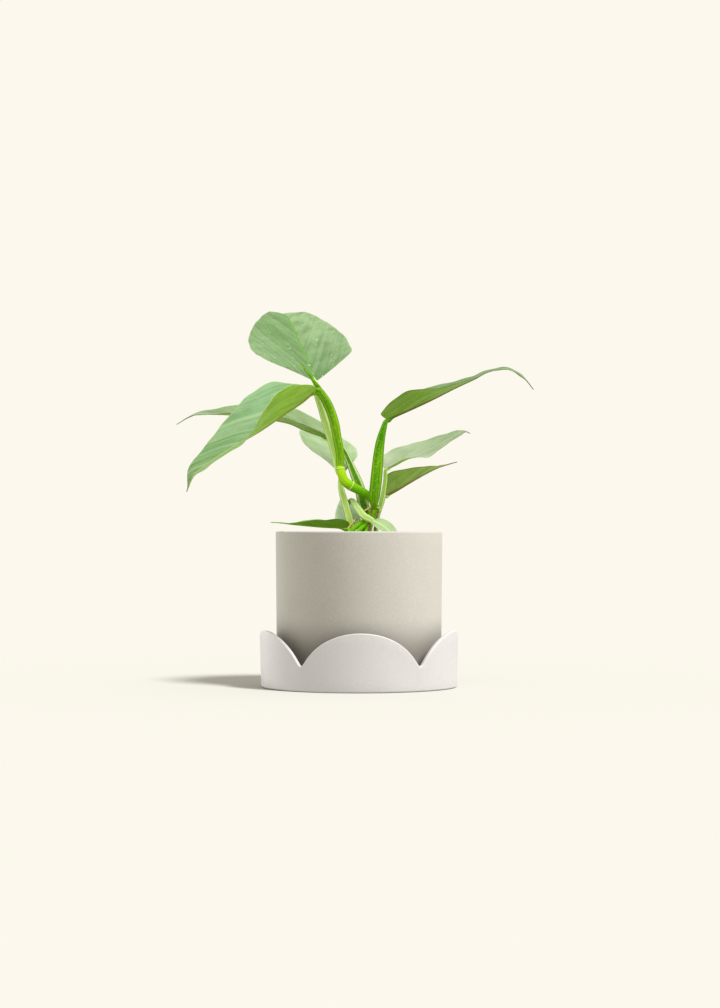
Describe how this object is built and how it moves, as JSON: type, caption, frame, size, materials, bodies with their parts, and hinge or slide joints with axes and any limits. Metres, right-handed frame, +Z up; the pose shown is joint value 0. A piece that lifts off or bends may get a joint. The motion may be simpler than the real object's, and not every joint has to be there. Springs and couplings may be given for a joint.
{
  "type": "potted plant",
  "caption": "Young potted philodendron with narrow arrow-shaped leaves on upright stalks, in a plain cylindrical ceramic pot standing in a deep saucer with a scalloped rim.",
  "frame": {"origin": "centre of the saucer's flat underside, on the pot's vertical axis", "axes": "+Z up, -Y towards the plant's best side, +X to the right as seen from there"},
  "size_m": [0.2596, 0.1896, 0.2798],
  "materials": {
    "saucer_glaze": "satin",
    "pot_glaze": "matte",
    "potting_soil": "matte",
    "leaf_green": "satin",
    "leaf_pale": "satin",
    "leaf_dark": "satin",
    "stalk_green": "satin",
    "stalk_pale": "satin",
    "aerial_root": "matte"
  },
  "bodies": {
    "root": {"saucer": "saucer_glaze", "pot": "pot_glaze", "soil": "potting_soil", "stem": "stalk_pale", "spear": "stalk_green", "petiole_front_left": "stalk_green", "petiole_upper": "stalk_pale", "petiole_right_upper": "stalk_green", "petiole_back_left": "stalk_green", "petiole_centre_back": "stalk_green", "petiole_right_middle": "stalk_green", "petiole_right_lower": "stalk_green", "petiole_low_left": "stalk_green", "petiole_low_back": "stalk_green", "petiole_low_right": "stalk_pale", "leaf_front_left": "leaf_green", "leaf_upper": "leaf_pale", "leaf_right_upper": "leaf_dark", "leaf_back_left": "leaf_pale", "leaf_centre_back": "leaf_pale", "leaf_right_middle": "leaf_pale", "leaf_right_lower": "leaf_green", "leaf_low_left": "leaf_dark", "leaf_low_back": "leaf_green", "leaf_low_right": "leaf_pale", "root_left": "aerial_root", "root_right": "aerial_root", "root_front": "aerial_root"}
  },
  "joints": []
}
